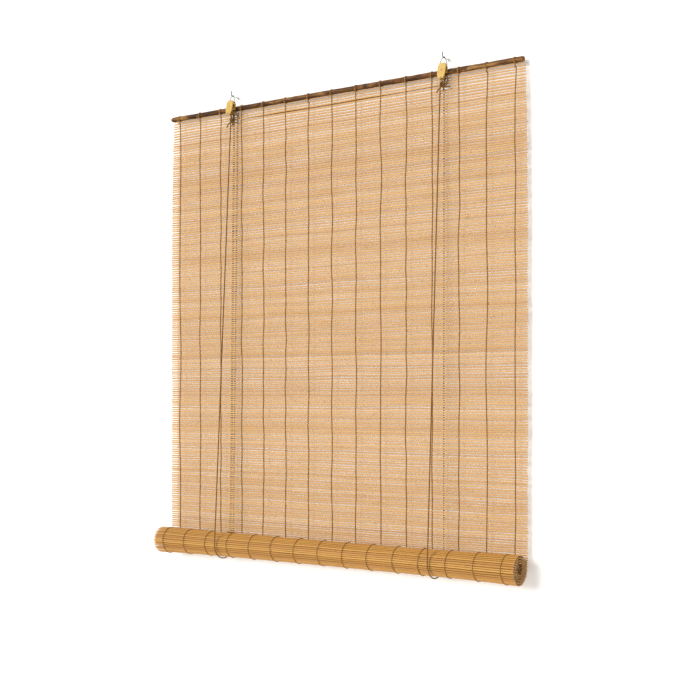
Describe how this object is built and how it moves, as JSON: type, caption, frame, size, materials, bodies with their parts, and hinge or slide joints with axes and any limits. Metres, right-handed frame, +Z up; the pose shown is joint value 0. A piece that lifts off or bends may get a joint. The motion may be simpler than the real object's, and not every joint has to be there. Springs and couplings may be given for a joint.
{
  "type": "roll-up bamboo blind",
  "caption": "Cord-lifted roll-up blind of woven bamboo splints under a cane head rod, hung by pulley blocks on screw hooks and partly rolled up.",
  "frame": {"origin": "on the wall, on the blind's centre plane, at the height where the wire bails hang on the wall hooks", "axes": "+Z up, +X to the right as seen from the room, +Y into the wall; the blind hangs in front of the plane y = 0"},
  "size_m": [1, 0.102, 1.1359],
  "materials": {
    "slats": "matt dried bamboo splints",
    "rolled_slats": "matt dried bamboo splints, warmer where several layers show",
    "dark_cane": "mottled brown cane, satin",
    "twine": "twisted brown cotton twine",
    "pulley_plastic": "pale yellow moulding",
    "sheave_plastic": "pale yellow moulding",
    "steel_wire": "zinc-plated"
  },
  "bodies": {
    "wall_fixings": {"left_wall_hook": "steel_wire", "right_wall_hook": "steel_wire"},
    "bails": {"left_bail": "steel_wire", "right_bail": "steel_wire"},
    "headrail": {"head_rod": "dark_cane", "slat_panel": "slats", "left_pulley_housing": "pulley_plastic", "left_axle_pin": "steel_wire", "left_guard_pin": "steel_wire", "left_rod_tie": "twine", "left_tie_knot": "twine", "left_rear_knot": "twine", "left_front_cord": "twine", "left_rear_cord": "twine", "right_pulley_housing": "pulley_plastic", "right_axle_pin": "steel_wire", "right_guard_pin": "steel_wire", "right_rod_tie": "twine", "right_tie_knot": "twine", "right_rear_knot": "twine", "right_front_cord": "twine", "right_rear_cord": "twine", "left_lead_cord": "twine", "cross_cord": "twine", "pull_cord_inner": "twine", "pull_cord_outer": "twine", "warp_tie_01": "twine", "warp_tie_02": "twine", "warp_tie_03": "twine", "warp_tie_04": "twine", "warp_tie_05": "twine", "warp_tie_06": "twine", "warp_tie_07": "twine", "warp_tie_08": "twine", "warp_tie_09": "twine", "warp_tie_10": "twine", "warp_tie_11": "twine", "warp_tie_12": "twine", "warp_tie_13": "twine", "warp_tie_14": "twine", "warp_tie_15": "twine"},
    "lift": {"left_bight": "twine", "right_bight": "twine"},
    "roll": {"slat_roll": "rolled_slats", "roll_core": "dark_cane"},
    "left_sheave_wheel": {"left_sheave": "sheave_plastic"},
    "right_sheave_wheel": {"right_sheave": "sheave_plastic"},
    "pull_end": {"pull_hank": "twine", "pull_end_knot": "twine"}
  },
  "joints": [
    {"name": "bail_swing", "type": "hinge", "parent": "wall_fixings", "child": "bails", "pos_m": [0, -0.01926, 0], "axis": [1, 0, 0], "range_deg": [-25, 0]},
    {"name": "head_tilt", "type": "hinge", "parent": "bails", "child": "headrail", "pos_m": [0, -0.02344, -0.01968], "axis": [1, 0, 0], "range_deg": [-15, 0]},
    {"name": "roll_lift", "type": "slide", "parent": "headrail", "child": "lift", "axis": [0, 0, 1], "range_m": [0, 0.9833], "deforming": ["slat_panel", "left_front_cord", "right_front_cord", "left_rear_cord", "right_rear_cord"]},
    {"name": "roll_turn", "type": "hinge", "parent": "lift", "child": "roll", "pos_m": [0, -0.0446, -1.091], "axis": [1, 0, 0], "range_deg": [-1801, 0]},
    {"name": "left_sheave_turn", "type": "hinge", "parent": "headrail", "child": "left_sheave_wheel", "pos_m": [-0.294, -0.0278, -0.03154], "axis": [0, 0.9781, -0.2079], "range_deg": [-28920, 0]},
    {"name": "right_sheave_turn", "type": "hinge", "parent": "headrail", "child": "right_sheave_wheel", "pos_m": [0.3022, -0.02624, -0.03187], "axis": [0, 0.9781, -0.2079], "range_deg": [0, 28920]},
    {"name": "pull_draw", "type": "slide", "parent": "headrail", "child": "pull_end", "axis": [0, 0, 1], "range_m": [-1.967, 0], "deforming": ["pull_cord_inner", "pull_cord_outer"]}
  ],
  "couplings": [
    {"joint": "roll_turn", "follows": "roll_lift", "rad_per_m": -31.949},
    {"joint": "left_sheave_turn", "follows": "roll_lift", "rad_per_m": -512.8},
    {"joint": "right_sheave_turn", "follows": "roll_lift", "rad_per_m": 512.8},
    {"joint": "pull_draw", "follows": "roll_lift", "ratio": -2}
  ]
}
